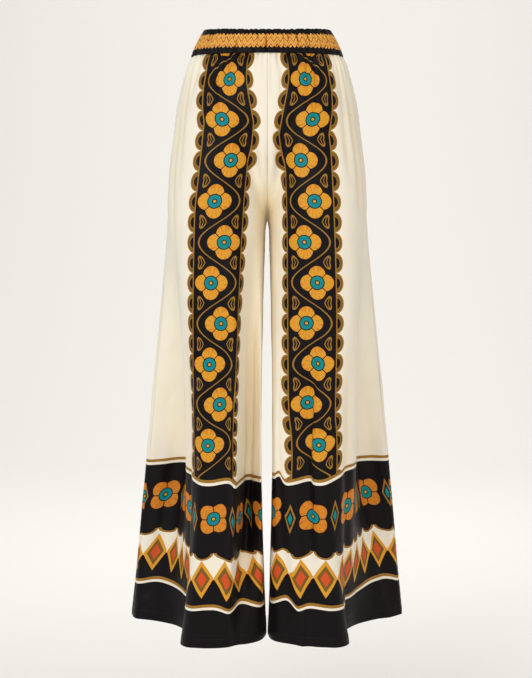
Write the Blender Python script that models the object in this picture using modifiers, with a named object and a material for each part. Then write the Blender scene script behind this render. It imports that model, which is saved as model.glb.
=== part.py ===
"""Palazzo pants in their worn, filled-out shape: four leg panels and an elastic waistband.

Run with: blender --background --python part.py
Units are metres, +Z up. The wearer faces -Y, so the wearer's left leg is at +X.
The origin is the middle of the waist opening, at half the height of the waistband.
"""

import math
from collections import namedtuple

import bmesh
import bpy
import numpy as np

# Cloth
PANEL_WALL = 0.0012
BAND_WALL = 0.0024
SEAM_GAP = 0.0003

# Heights
BAND_TOP = 0.0234
WAIST_SEAM = -0.0225
GATHER_END = -0.125
FORK = -0.300
SHIN = -0.770
HEM = -1.0585

# The waistband dips at the centre front and stands a little higher behind.
BAND_TOP_DIP = 0.0070
WAIST_SEAM_DIP = 0.0020
BAND_BULGE = 0.0015

# Gathers: every second fine column of the cloth is drawn inwards. The waist seam leans, so
# a gather drawn in also hangs lower, by this share of the way it is drawn.
BAND_GATHER = 0.0009
PANEL_GATHER = 0.0030
GATHER_UNEVEN = 0.45
GATHER_LEAN = 0.55

# The length, in turns, over which the cloth's direction is read.
TANGENT_STEP = 0.02

# Mesh density
PANEL_COLUMNS = 28
BAND_COLUMNS = 88
GATHER_ROWS = 6
HIP_ROWS = 6
LEG_ROWS = 10
BAND_ROWS = 3

# The body's outline above the fork: half the width at the sides, and how far the cloth
# stands in front of and behind the side seams.
Girth = namedtuple("Girth", "height half_width front back")
BODY = (
    Girth(BAND_TOP, 0.1120, 0.083, 0.092),
    Girth(WAIST_SEAM, 0.1345, 0.092, 0.103),
    Girth(-0.050, 0.1455, 0.098, 0.113),
    Girth(-0.104, 0.1565, 0.106, 0.128),
    Girth(-0.170, 0.1600, 0.111, 0.141),
    Girth(-0.240, 0.1680, 0.114, 0.146),
    Girth(FORK, 0.1775, 0.116, 0.147),
)

# The leg's smooth ring at the fork, before any fold has opened.
FORK_INNER = 0.0012
FORK_OUTER = 0.1795
FORK_FRONT = -0.116
FORK_BACK = 0.146
FORK_SEAM = 0.022
FORK_SQUARENESS = 2.5

# Fold lines that run down each leg, in order round it: inseam, front, outseam, back.
# x is measured from the middle of the body outwards, y from front (-) to back (+).
FoldLine = namedtuple("FoldLine", "name shin_x shin_y hem_x hem_y")
LEFT_LEG = (
    FoldLine("inseam", 0.0110, 0.040, 0.0033, 0.053),
    FoldLine("inner_edge", 0.0089, -0.065, 0.0051, -0.048),
    FoldLine("inner_hollow", 0.0211, -0.079, 0.0382, -0.080),
    FoldLine("front_ridge", 0.0364, -0.083, 0.0630, -0.096),
    FoldLine("front_middle", 0.0750, -0.084, 0.0757, -0.096),
    FoldLine("front_corner", 0.0926, -0.095, 0.1407, -0.088),
    FoldLine("side_hollow", 0.1556, -0.041, 0.1503, 0.007),
    FoldLine("side_ridge", 0.1695, 0.097, 0.2290, 0.076),
    FoldLine("outseam", 0.2290, 0.110, 0.2590, 0.108),
    FoldLine("back_side_ridge", 0.2110, 0.163, 0.2430, 0.168),
    FoldLine("back_side_hollow", 0.1730, 0.136, 0.1950, 0.128),
    FoldLine("back_corner", 0.1450, 0.186, 0.1640, 0.216),
    FoldLine("back_middle", 0.1080, 0.152, 0.1170, 0.156),
    FoldLine("back_ridge", 0.0760, 0.192, 0.0770, 0.226),
    FoldLine("back_hollow", 0.0440, 0.132, 0.0470, 0.140),
    FoldLine("inner_back", 0.0160, 0.112, 0.0120, 0.128),
)
RIGHT_LEG = (
    FoldLine("inseam", 0.0125, 0.030, 0.0033, 0.048),
    FoldLine("inner_edge", 0.0111, -0.084, 0.0079, -0.051),
    FoldLine("inner_hollow", 0.0323, -0.048, 0.0493, -0.087),
    FoldLine("front_ridge", 0.0530, -0.123, 0.0703, -0.100),
    FoldLine("front_middle", 0.0676, -0.118, 0.1055, -0.105),
    FoldLine("front_corner", 0.1093, -0.098, 0.1510, -0.086),
    FoldLine("side_hollow", 0.1467, -0.025, 0.1544, 0.002),
    FoldLine("side_ridge", 0.1558, 0.093, 0.2187, 0.057),
    FoldLine("outseam", 0.2245, 0.092, 0.2570, 0.088),
    FoldLine("back_side_ridge", 0.2100, 0.143, 0.2430, 0.146),
    FoldLine("back_side_hollow", 0.1690, 0.120, 0.1890, 0.120),
    FoldLine("back_corner", 0.1420, 0.178, 0.1570, 0.210),
    FoldLine("back_middle", 0.1030, 0.142, 0.1110, 0.148),
    FoldLine("back_ridge", 0.0730, 0.192, 0.0730, 0.223),
    FoldLine("back_hollow", 0.0410, 0.134, 0.0430, 0.142),
    FoldLine("inner_back", 0.0150, 0.104, 0.0115, 0.121),
)
FOLDS = len(LEFT_LEG)
OUTSEAM = FOLDS // 2

# A leg's side is +1 for the wearer's left and -1 for the right. Its shin and hem hold the
# control points of the rings at those heights.
Leg = namedtuple("Leg", "name side shin hem")

# How closely each fold line, counted from the centre seam, follows the crotch curve.
CROTCH_PULL = (1.0, 0.45, 0.12)
CROTCH_START = -0.130
CROTCH_POWER = 3.0
THIGH_START = -0.040

# The centre seams lie in the middle plane down to the fork. Below it the legs part over
# this height, and this many fold lines from the seam follow it.
PARTING_HEIGHT = 0.030
PARTING_REACH = 2.5

# Materials
SILK_CREAM = (0.86, 0.80, 0.66, 1.0)
SILK_BLACK = (0.020, 0.014, 0.018, 1.0)
SILK_ROUGHNESS = 0.42


def clear_scene():
    """Removes whatever the file holds, so that only the garment is left."""
    for obj in list(bpy.data.objects):
        bpy.data.objects.remove(obj)


def smoothstep(low, high, value):
    """0 at low, 1 at high, with no slope at either end."""
    share = min(1.0, max(0.0, (value - low) / (high - low)))
    return share * share * (3.0 - 2.0 * share)


def curve_through(stations, values, at):
    """A smooth curve through (station, value) pairs, stations rising, read at one place."""
    stations, values = np.asarray(stations, float), np.asarray(values, float)
    at = min(max(at, stations[0]), stations[-1])
    slopes = np.gradient(values, stations, axis=0)
    i = min(int(np.searchsorted(stations, at, side="right")) - 1, len(stations) - 2)
    span = stations[i + 1] - stations[i]
    s = (at - stations[i]) / span
    return (
        (2 * s**3 - 3 * s**2 + 1) * values[i]
        + (s**3 - 2 * s**2 + s) * span * slopes[i]
        + (3 * s**2 - 2 * s**3) * values[i + 1]
        + (s**3 - s**2) * span * slopes[i + 1]
    )


def girth_at(height):
    """(half width, front depth, back depth) of the body at a height."""
    rising = BODY[::-1]
    heights = [row.height for row in rising]
    sizes = [(row.half_width, row.front, row.back) for row in rising]
    return curve_through(heights, sizes, height)


def body_point(turn, height):
    """A point of the body's outline. turn is 0 at the centre front and 1 at the centre back."""
    half_width, front, back = girth_at(height)
    angle = math.pi * turn
    depth = front if math.cos(angle) > 0 else back
    return np.array([half_width * math.sin(angle), -depth * math.cos(angle)])


def fork_point(share):
    """A point of the smooth leg ring at the fork. share runs from the inseam through the front."""
    angle = 2 * math.pi * share
    middle = (FORK_INNER + FORK_OUTER) / 2
    reach_x = (FORK_OUTER - FORK_INNER) / 2
    reach_y = FORK_SEAM - FORK_FRONT if math.sin(angle) > 0 else FORK_BACK - FORK_SEAM
    power = 2.0 / FORK_SQUARENESS
    across = math.copysign(abs(math.cos(angle)) ** power, math.cos(angle))
    along = math.copysign(abs(math.sin(angle)) ** power, math.sin(angle))
    return np.array([middle - reach_x * across, FORK_SEAM - reach_y * along])


def controls_through(places):
    """Control points of the closed B-spline that passes through a ring of places."""
    weights = np.zeros((FOLDS, FOLDS))
    for i in range(FOLDS):
        for step, weight in ((-1, 1), (0, 4), (1, 1)):
            weights[i, (i + step) % FOLDS] = weight / 6.0
    return np.linalg.solve(weights, places)


def shaped_leg(name, side, folds):
    """A leg ready for its sections, from its table of fold lines."""
    shin = controls_through([(row.shin_x, row.shin_y) for row in folds])
    hem = controls_through([(row.hem_x, row.hem_y) for row in folds])
    return Leg(name, side, shin, hem)


def leg_control(leg, index, height):
    """The control point of one fold line of a leg at a height below the fork."""
    place = index % FOLDS
    controls = (leg.hem[place], leg.shin[place], fork_point(place / FOLDS))
    return curve_through((HEM, SHIN, FORK), controls, height)


def opening_of_leg(index, height):
    """How far a fold line has left the body's outline for the leg's ring: 0 above, 1 at the fork."""
    from_centre = min(index % FOLDS, -index % FOLDS)
    pull = CROTCH_PULL[from_centre] if from_centre < len(CROTCH_PULL) else 0.0
    down = min(1.0, max(0.0, (CROTCH_START - height) / (CROTCH_START - FORK)))
    thigh = smoothstep(-THIGH_START, -FORK, -height)
    return pull * down**CROTCH_POWER + (1.0 - pull) * thigh


def control_point(leg, index, height):
    """A control point of the section at a height. index is 0 at the centre front or inseam, and
    FOLDS at the centre back or inseam. One point past each end makes the curve run on smoothly."""
    if index < 0:
        body = body_point(-index / FOLDS, height) * (-1, 1)
    elif index > FOLDS:
        body = body_point((2 * FOLDS - index) / FOLDS, height) * (-1, 1)
    else:
        body = body_point(index / FOLDS, height)
    opened = opening_of_leg(index, height)
    return (1.0 - opened) * body + opened * leg_control(leg, index, min(height, FORK))


def section(leg, turns, height):
    """Points of one level section, as a cubic B-spline over its fold lines. Each turn is a place
    round the half body, from 0 at the centre front to FOLDS at the centre back."""
    control = np.array([control_point(leg, i, height) for i in range(-1, FOLDS + 2)])
    turns = np.asarray(turns, float)
    start = np.clip(np.floor(turns).astype(int), 0, FOLDS - 1)
    s = (turns - start)[:, None]
    weights = (
        (1 - s) ** 3,
        3 * s**3 - 6 * s**2 + 4,
        -3 * s**3 + 3 * s**2 + 3 * s + 1,
        s**3,
    )
    points = sum(w * control[start + k] for k, w in enumerate(weights)) / 6.0
    ends = (control[:3, 0] @ (1, 4, 1) / 6.0, control[-3:, 0] @ (1, 4, 1) / 6.0)
    held = smoothstep(FORK - PARTING_HEIGHT, FORK, height)
    for end, distance in zip(ends, (turns, FOLDS - turns)):
        points[:, 0] -= held * end * np.clip(1 - distance / PARTING_REACH, 0, 1) ** 2
    return points


def even_turns(leg, first, last, count):
    """Turns from first to last for the columns of a panel: half evenly by cloth at the hem, half
    evenly by turn, so that folds get enough columns and the gathers stay regular."""
    fine = np.linspace(first, last, 400)
    points = section(leg, fine, HEM)
    cloth = np.concatenate([[0.0], np.cumsum(np.linalg.norm(np.diff(points, axis=0), axis=1))])
    shares = 0.5 * cloth / cloth[-1] + 0.5 * (fine - first) / (last - first)
    return np.interp(np.linspace(0, 1, count + 1), shares, fine)


def unevenness(number):
    """A fixed, irregular figure from 0 to 1 for one gather."""
    return (math.sin(number * 12.9898 + 4.1) * 43758.5453) % 1.0


def seam_height(turn):
    """The height of the waist seam at a place round the half body (0 front, 1 back)."""
    return WAIST_SEAM - WAIST_SEAM_DIP * max(0.0, math.cos(math.pi * turn)) ** 2


def panel_heights():
    """The heights of a panel's rows, from the hem up to the waist seam."""
    leg = np.linspace(HEM, FORK, LEG_ROWS + 1)
    rise = np.linspace(0, 1, HIP_ROWS + 1)[1:] ** 1.25
    hip = FORK + (GATHER_END - FORK) * rise
    gathers = np.linspace(GATHER_END, WAIST_SEAM - SEAM_GAP, GATHER_ROWS + 1)[1:]
    return np.concatenate([leg, hip, gathers])


def add_solid(name, bm, wall, colour):
    """Makes a named object from its open outer surface, and gives it its wall."""
    mesh = bpy.data.meshes.new(name)
    bm.to_mesh(mesh)
    bm.free()
    mesh.shade_smooth()
    obj = bpy.data.objects.new(name, mesh)
    garment.objects.link(obj)
    solidify = obj.modifiers.new("cloth_wall", "SOLIDIFY")
    solidify.thickness = wall
    solidify.offset = -1.0
    solidify.use_even_offset = False
    triangulate = obj.modifiers.new("triangles", "TRIANGULATE")
    triangulate.min_vertices = 4
    material = bpy.data.materials.new(name + "_cloth")
    material.use_nodes = True
    shader = material.node_tree.nodes["Principled BSDF"]
    shader.inputs["Base Color"].default_value = colour
    shader.inputs["Roughness"].default_value = SILK_ROUGHNESS
    mesh.materials.append(material)
    return obj


def parameter_grid(columns, rows):
    """A flat grid whose x counts columns and whose y counts rows, both from 0."""
    bm = bmesh.new()
    bmesh.ops.create_grid(bm, x_segments=columns, y_segments=rows, size=0.5)
    for vert in bm.verts:
        vert.co.x = (vert.co.x + 0.5) * columns
        vert.co.y = (vert.co.y + 0.5) * rows
    return bm


def panel_surface(leg, first, last):
    """The outer surface of one leg panel, between two seams of the leg."""
    heights = panel_heights()
    rows = len(heights) - 1
    bm = parameter_grid(PANEL_COLUMNS, rows)
    gathered = rows - GATHER_ROWS
    across = [
        edge
        for edge in bm.edges
        if abs(edge.verts[0].co.y - edge.verts[1].co.y) < 0.5
        and edge.verts[0].co.y > gathered - 0.5
    ]
    bmesh.ops.subdivide_edges(bm, edges=across, cuts=1)
    turns = even_turns(leg, first, last, PANEL_COLUMNS)
    for vert in bm.verts:
        vert.co = panel_point(leg, turns, vert.co.x, float(heights[round(vert.co.y)]))
    if leg.side < 0:
        bmesh.ops.reverse_faces(bm, faces=bm.faces)
    return bm


def direction(points):
    """The unit vector from the first of some points to the last."""
    step = points[-1] - points[0]
    return step / np.linalg.norm(step)


def panel_point(leg, turns, column, height):
    """One point of a panel, drawn in by its gather and held back from its seams."""
    turn = float(np.interp(column, np.arange(PANEL_COLUMNS + 1), turns))
    point = section(leg, [turn], height)[0]
    along = direction(section(leg, [turn - TANGENT_STEP, turn + TANGENT_STEP], height))
    outward = np.array([along[1], -along[0]])
    fading = smoothstep(GATHER_END, WAIST_SEAM, height)
    dip = (seam_height(turn / FOLDS) - WAIST_SEAM) * fading
    if abs(column - round(column)) > 0.25 and 1 < column < PANEL_COLUMNS - 1:
        uneven = 1.0 - GATHER_UNEVEN * unevenness(column + turns[0] + 40 * leg.side)
        drawn = PANEL_GATHER * uneven * fading
        point = point - outward * drawn
        dip -= drawn * GATHER_LEAN
    if column in (0, PANEL_COLUMNS):
        # On a sharp bend the inner corners of two panels would meet, so both stand further off.
        inwards = 1 if column == 0 else -1
        beside = turns[1] if column == 0 else turns[-2]
        bend = -direction(section(leg, [turn, beside], height)) @ outward
        point = point + along * inwards * (SEAM_GAP / 2 + PANEL_WALL * max(0.0, bend))
    point[0] = max(point[0], SEAM_GAP / 2)
    return (leg.side * point[0], point[1], height + dip)


def band_surface(first_turn):
    """The outer surface of half the waistband. It runs from one side seam to the other, and
    first_turn is -0.5 for the front half and 0.5 for the back half."""
    bm = parameter_grid(BAND_COLUMNS, BAND_ROWS)
    for vert in bm.verts:
        column, row = vert.co.x, vert.co.y
        turn = first_turn + column / BAND_COLUMNS
        up = row / BAND_ROWS
        facing = max(0.0, math.cos(math.pi * turn)) ** 2
        low = seam_height(abs(turn))
        high = BAND_TOP - BAND_TOP_DIP * facing
        height = WAIST_SEAM + (BAND_TOP - WAIST_SEAM) * up
        outline = band_outline(turn, height)
        swell = BAND_BULGE * 4 * up * (1 - up)
        if round(column) % 2 and 1 < column < BAND_COLUMNS - 1:
            swell -= BAND_GATHER * (1.0 - GATHER_UNEVEN * unevenness(column + first_turn))
        place = outline + swell * outline / np.linalg.norm(outline)
        if column in (0, BAND_COLUMNS):
            inwards = 1 if column == 0 else -1
            beside = band_outline(turn + inwards / BAND_COLUMNS, height)
            into_half = direction([outline, beside])
            place[1] += math.copysign(SEAM_GAP / 2 + BAND_WALL * abs(into_half[0]), into_half[1])
        vert.co = (place[0], place[1], low + (high - low) * up)
    return bm


def band_outline(turn, height):
    """The waistband's outline all round the body; a turn of 0 is the front and 1 the back."""
    folded = abs((turn + 1) % 2 - 1)
    across, depth = body_point(folded, height)
    return np.array([math.copysign(across, math.sin(math.pi * turn)), depth])


clear_scene()
garment = bpy.data.collections.new("palazzo_pants")
bpy.context.scene.collection.children.link(garment)

for leg in (shaped_leg("left", 1, LEFT_LEG), shaped_leg("right", -1, RIGHT_LEG)):
    front = panel_surface(leg, 0, OUTSEAM)
    back = panel_surface(leg, OUTSEAM, FOLDS)
    add_solid(f"front_{leg.name}_leg", front, PANEL_WALL, SILK_CREAM)
    add_solid(f"back_{leg.name}_leg", back, PANEL_WALL, SILK_CREAM)

add_solid("waistband_front", band_surface(-0.5), BAND_WALL, SILK_BLACK)
add_solid("waistband_back", band_surface(0.5), BAND_WALL, SILK_BLACK)
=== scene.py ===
"""Palazzo pants of printed silk twill, filled out as worn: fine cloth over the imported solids.

Lengths are in metres unless a name or comment says otherwise, +Z is up, and the wearer faces
-Y, so the wearer's left leg is at +X. The origin is the middle of the waist opening.
"""

import logging
import math
from collections.abc import Callable, Iterable, Sequence
from dataclasses import dataclass, field
from enum import Enum
from functools import partialmethod

import bmesh
import bpy
import numpy as np
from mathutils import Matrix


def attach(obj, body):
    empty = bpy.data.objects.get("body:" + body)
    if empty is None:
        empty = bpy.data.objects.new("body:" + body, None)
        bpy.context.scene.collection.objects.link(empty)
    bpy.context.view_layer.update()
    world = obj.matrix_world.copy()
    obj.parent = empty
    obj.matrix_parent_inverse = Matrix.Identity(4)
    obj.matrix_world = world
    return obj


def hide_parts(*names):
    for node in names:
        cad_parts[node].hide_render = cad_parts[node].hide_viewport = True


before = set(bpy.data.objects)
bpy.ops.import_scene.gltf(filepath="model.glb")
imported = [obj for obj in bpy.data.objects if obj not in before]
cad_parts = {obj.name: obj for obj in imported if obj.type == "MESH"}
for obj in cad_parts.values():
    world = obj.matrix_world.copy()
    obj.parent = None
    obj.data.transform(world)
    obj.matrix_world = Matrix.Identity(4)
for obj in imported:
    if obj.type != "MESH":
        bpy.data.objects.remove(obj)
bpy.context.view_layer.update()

log = logging.getLogger("palazzo_pants")

BODY = "root"
MM = 0.001

# Heights of the garment's own lines.
BAND_TOP = 0.0234
WAIST_SEAM = -0.0225
GATHER_END = -0.125
FORK = -0.300
SHIN = -0.770
HEM = -1.0585


class Side(Enum):
    """The wearer's side that a leg is on, as the sign of its x."""

    LEFT = 1
    RIGHT = -1


class Cut(Enum):
    """A leg's two panels, by the turns round the leg where each starts and ends."""

    FRONT = (0, 8)
    BACK = (8, 16)


# ---------------------------------------------------------------------------------------
# Form: the same sections as the solids, read as finely as needed
# ---------------------------------------------------------------------------------------


def smoothstep(low: float, high: float, value: np.ndarray | float) -> np.ndarray | float:
    """A soft rise.

    Args:
        low: Where the rise starts, at 0.
        high: Where it ends, at 1.
        value: One number or an array of them.

    Returns:
        The share risen, from 0 to 1, level at both ends.
    """
    share = np.clip((value - low) / (high - low), 0.0, 1.0)
    return share * share * (3.0 - 2.0 * share)


def curve_through(stations: Sequence[float], values: Sequence, at: float) -> np.ndarray:
    """A smooth curve through values at rising stations.

    Args:
        stations: Rising places.
        values: A number or a row of numbers for each station.
        at: Where the curve is read; outside the stations it stays at its end.

    Returns:
        The value there.
    """
    places, rows = np.asarray(stations, float), np.asarray(values, float)
    at = min(max(at, places[0]), places[-1])
    slopes = np.gradient(rows, places, axis=0)
    i = min(int(np.searchsorted(places, at, side="right")) - 1, len(places) - 2)
    span = places[i + 1] - places[i]
    s = (at - places[i]) / span
    return (
        (2 * s**3 - 3 * s**2 + 1) * rows[i]
        + (s**3 - 2 * s**2 + s) * span * slopes[i]
        + (3 * s**2 - 2 * s**3) * rows[i + 1]
        + (s**3 - s**2) * span * slopes[i + 1]
    )


@dataclass(frozen=True)
class Girth:
    """The cloth's outline round the body at one height."""

    height: float
    half_width: float
    front: float
    back: float


@dataclass(frozen=True)
class Figure:
    """The general figure that fills the garment above the fork."""

    rows: tuple[Girth, ...] = (
        Girth(BAND_TOP, 0.1120, 0.083, 0.092),
        Girth(WAIST_SEAM, 0.1345, 0.092, 0.103),
        Girth(-0.050, 0.1455, 0.098, 0.113),
        Girth(-0.104, 0.1565, 0.106, 0.128),
        Girth(-0.170, 0.1600, 0.111, 0.141),
        Girth(-0.240, 0.1680, 0.114, 0.146),
        Girth(FORK, 0.1775, 0.116, 0.147),
    )

    def point(self, turn: float, height: float) -> np.ndarray:
        """A point of the outline.

        Args:
            turn: 0 at the centre front and 1 at the centre back.
            height: The level.

        Returns:
            Its x, outwards, and its y.
        """
        rising = self.rows[::-1]
        half_width, front, back = curve_through(
            [row.height for row in rising],
            [(row.half_width, row.front, row.back) for row in rising],
            height,
        )
        angle = math.pi * turn
        depth = front if math.cos(angle) > 0 else back
        return np.array([half_width * math.sin(angle), -depth * math.cos(angle)])


@dataclass(frozen=True)
class FoldLine:
    """One fold line down a leg, as the places (x outwards, y) that it passes through.

    Its slips say how many millimetres the cloth hangs above level there, at the two heights
    of LegForm.slip_heights.
    """

    name: str
    shin: tuple[float, float]
    hem: tuple[float, float]
    slips: tuple[float, float] = (0.0, 0.0)


LEFT_FOLDS = (
    FoldLine("inseam", (0.0110, 0.040), (0.0033, 0.053), (-0.7, 0.5)),
    FoldLine("inner_edge", (0.0089, -0.065), (0.0051, -0.048), (-1.3, 0.9)),
    FoldLine("inner_hollow", (0.0211, -0.079), (0.0382, -0.080), (10.1, 6.4)),
    FoldLine("front_ridge", (0.0364, -0.083), (0.0610, -0.0955), (-6.8, -9.2)),
    FoldLine("front_middle", (0.0750, -0.084), (0.0820, -0.097), (-1.3, -1.3)),
    FoldLine("front_corner", (0.0926, -0.095), (0.1407, -0.088), (-4.6, -6.5)),
    FoldLine("side_hollow", (0.1556, -0.041), (0.1503, 0.007), (-9.3, 15.1)),
    FoldLine("side_ridge", (0.1695, 0.097), (0.2290, 0.076), (2.8, -1.5)),
    FoldLine("outseam", (0.2290, 0.110), (0.2590, 0.108), (-6.0, -1.0)),
    FoldLine("back_side_ridge", (0.2110, 0.163), (0.2430, 0.168)),
    FoldLine("back_side_hollow", (0.1730, 0.136), (0.1950, 0.128)),
    FoldLine("back_corner", (0.1450, 0.186), (0.1640, 0.216)),
    FoldLine("back_middle", (0.1080, 0.152), (0.1170, 0.156)),
    FoldLine("back_ridge", (0.0760, 0.192), (0.0770, 0.226)),
    FoldLine("back_hollow", (0.0440, 0.132), (0.0470, 0.140)),
    FoldLine("inner_back", (0.0160, 0.112), (0.0120, 0.128)),
)
RIGHT_FOLDS = (
    FoldLine("inseam", (0.0125, 0.030), (0.0033, 0.048), (-2.3, -1.4)),
    FoldLine("inner_edge", (0.0111, -0.084), (0.0079, -0.051), (-7.4, -2.5)),
    FoldLine("inner_hollow", (0.0323, -0.048), (0.0493, -0.087), (2.4, -6.0)),
    FoldLine("front_ridge", (0.0530, -0.123), (0.0703, -0.100), (-7.3, -4.9)),
    FoldLine("front_middle", (0.0676, -0.118), (0.1055, -0.105), (1.2, 1.3)),
    FoldLine("front_corner", (0.1093, -0.098), (0.1510, -0.086), (-4.9, -6.6)),
    FoldLine("side_hollow", (0.1467, -0.025), (0.1544, 0.002), (-2.1, 5.8)),
    FoldLine("side_ridge", (0.1558, 0.093), (0.2187, 0.057), (1.6, -1.8)),
    FoldLine("outseam", (0.2245, 0.092), (0.2570, 0.088), (-6.5, -6.2)),
    FoldLine("back_side_ridge", (0.2100, 0.143), (0.2430, 0.146)),
    FoldLine("back_side_hollow", (0.1690, 0.120), (0.1890, 0.120)),
    FoldLine("back_corner", (0.1420, 0.178), (0.1570, 0.210)),
    FoldLine("back_middle", (0.1030, 0.142), (0.1110, 0.148)),
    FoldLine("back_ridge", (0.0730, 0.192), (0.0730, 0.223)),
    FoldLine("back_hollow", (0.0410, 0.134), (0.0430, 0.142)),
    FoldLine("inner_back", (0.0150, 0.104), (0.0115, 0.121)),
)
FOLDS = len(LEFT_FOLDS)


@dataclass
class LegForm:
    """A leg's level sections, from the waist seam to the hem."""

    side: Side
    folds: tuple[FoldLine, ...]
    figure: Figure
    fork_inner: float = 0.0012
    fork_outer: float = 0.1795
    fork_front: float = -0.116
    fork_back: float = 0.146
    fork_seam: float = 0.022
    fork_squareness: float = 2.5
    crotch_pull: tuple[float, ...] = (1.0, 0.45, 0.12)
    crotch_start: float = -0.130
    crotch_power: float = 3.0
    thigh_start: float = -0.040
    parting_height: float = 0.030
    parting_reach: float = 2.5
    slip_heights: tuple[float, float] = (0.0712, 0.298)
    slip_end: float = 0.62
    shin: np.ndarray = field(init=False)
    hem: np.ndarray = field(init=False)

    def __post_init__(self) -> None:
        """Works out the control points of the two rings that the fold lines pass through."""
        self.shin = self.controls_through([fold.shin for fold in self.folds])
        self.hem = self.controls_through([fold.hem for fold in self.folds])

    def controls_through(self, places: Sequence[tuple[float, float]]) -> np.ndarray:
        """Control points of a closed B-spline.

        Args:
            places: The ring of places that it passes through.

        Returns:
            A control point for each place.
        """
        weights = np.zeros((FOLDS, FOLDS))
        for i in range(FOLDS):
            for step, weight in ((-1, 1), (0, 4), (1, 1)):
                weights[i, (i + step) % FOLDS] = weight / 6.0
        return np.linalg.solve(weights, np.asarray(places, float))

    def fork_point(self, share: float) -> np.ndarray:
        """A point of the smooth ring at the fork.

        Args:
            share: The way round, from the inseam through the front.

        Returns:
            Its x and y.
        """
        angle = 2 * math.pi * share
        middle = (self.fork_inner + self.fork_outer) / 2
        reach_x = (self.fork_outer - self.fork_inner) / 2
        forwards = math.sin(angle) > 0
        reach_y = self.fork_seam - self.fork_front if forwards else self.fork_back - self.fork_seam
        power = 2.0 / self.fork_squareness
        across = math.copysign(abs(math.cos(angle)) ** power, math.cos(angle))
        along = math.copysign(abs(math.sin(angle)) ** power, math.sin(angle))
        return np.array([middle - reach_x * across, self.fork_seam - reach_y * along])

    def opening(self, index: int, height: float) -> float:
        """How far a fold line has left the body's outline for the leg's ring.

        Args:
            index: The fold line, from 0.
            height: The level.

        Returns:
            0 on the body and 1 on the leg.
        """
        from_centre = min(index % FOLDS, -index % FOLDS)
        pull = self.crotch_pull[from_centre] if from_centre < len(self.crotch_pull) else 0.0
        down = min(1.0, max(0.0, (self.crotch_start - height) / (self.crotch_start - FORK)))
        thigh = float(smoothstep(-self.thigh_start, -FORK, -height))
        return pull * down**self.crotch_power + (1.0 - pull) * thigh

    def control(self, index: int, height: float) -> np.ndarray:
        """The control point of a fold line at a level; -1 and FOLDS + 1 carry the curve on."""
        if index < 0:
            body = self.figure.point(-index / FOLDS, height) * (-1, 1)
        elif index > FOLDS:
            body = self.figure.point((2 * FOLDS - index) / FOLDS, height) * (-1, 1)
        else:
            body = self.figure.point(index / FOLDS, height)
        place = index % FOLDS
        rings = (self.hem[place], self.shin[place], self.fork_point(place / FOLDS))
        leg = curve_through((HEM, SHIN, FORK), rings, min(height, FORK))
        opened = self.opening(index, height)
        return (1.0 - opened) * body + opened * leg

    def slip(self, turns: np.ndarray, height: float) -> np.ndarray:
        """How far above level the cloth hangs.

        Args:
            turns: Places round the half body.
            height: The level.

        Returns:
            A length for each turn.
        """
        start = np.floor(turns).astype(int)
        share = smoothstep(0, 1, turns - start)
        rows = np.array([fold.slips for fold in self.folds]) * MM
        low, high = ((1 - share) * column[start % FOLDS] + share * column[(start + 1) % FOLDS]
                     for column in rows.T)
        stations = (0.0, *self.slip_heights, self.slip_end)
        weights = [np.interp(height - HEM, stations, row) for row in ((0, 1, 0, 0), (0, 0, 1, 0))]
        return weights[0] * low + weights[1] * high

    def section(self, turns: np.ndarray, height: float) -> np.ndarray:
        """Points of one level section.

        Args:
            turns: Places round the half body, 0 at the centre front, FOLDS at the back.
            height: The level.

        Returns:
            An x, outwards, and a y for each turn.
        """
        control = np.array([self.control(i, height) for i in range(-1, FOLDS + 2)])
        start = np.clip(np.floor(turns).astype(int), 0, FOLDS - 1)
        s = (turns - start)[:, None]
        weights = (
            (1 - s) ** 3,
            3 * s**3 - 6 * s**2 + 4,
            -3 * s**3 + 3 * s**2 + 3 * s + 1,
            s**3,
        )
        points = sum(w * control[start + k] for k, w in enumerate(weights)) / 6.0
        ends = (control[:3, 0] @ (1, 4, 1) / 6.0, control[-3:, 0] @ (1, 4, 1) / 6.0)
        held = float(smoothstep(FORK - self.parting_height, FORK, height))
        for end, distance in zip(ends, (turns, FOLDS - turns)):
            points[:, 0] -= held * end * np.clip(1 - distance / self.parting_reach, 0, 1) ** 2
        return points


# ---------------------------------------------------------------------------------------
# Relief: what the fine cloth has that the solids leave out
# ---------------------------------------------------------------------------------------


@dataclass(frozen=True)
class Gathers:
    """Fullness drawn up at a seam, as uneven troughs that die out down the cloth."""

    count: int
    seed: int
    depth: float = 0.0066
    puff: float = 0.0016
    shortest: float = 0.035
    longest: float = 0.200
    lean: float = 0.08

    def relief(self, across: np.ndarray, below: np.ndarray) -> np.ndarray:
        """How far the gathers move the cloth outwards.

        Args:
            across: The share of the panel's width at each column.
            below: The distance under the seam at each row.

        Returns:
            An array of rows by columns.
        """
        chance = np.random.default_rng(self.seed)
        total = np.zeros((len(below), len(across)))
        down = np.maximum(below, 0.0)[:, None]
        for i in range(self.count):
            middle = (i + 0.5 + chance.uniform(-0.30, 0.30)) / self.count
            width = chance.uniform(0.22, 0.40) / self.count
            length = self.shortest + (self.longest - self.shortest) * chance.random() ** 2
            depth = self.depth * chance.uniform(0.45, 1.0)
            centre = middle + self.lean * chance.uniform(-1, 1) * down
            spread = width * (1 + 6 * down)
            fade = np.clip(1 - down / length, 0, 1) ** 1.3
            total -= depth * fade * np.exp(-(((across[None, :] - centre) / spread) ** 2))
        swell = self.puff * np.exp(-(((down - 0.014) / 0.012) ** 2))
        edge = smoothstep(0.0, 0.04, across) * smoothstep(0.0, 0.04, 1 - across)
        return total * edge[None, :] + swell * edge[None, :]


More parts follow.
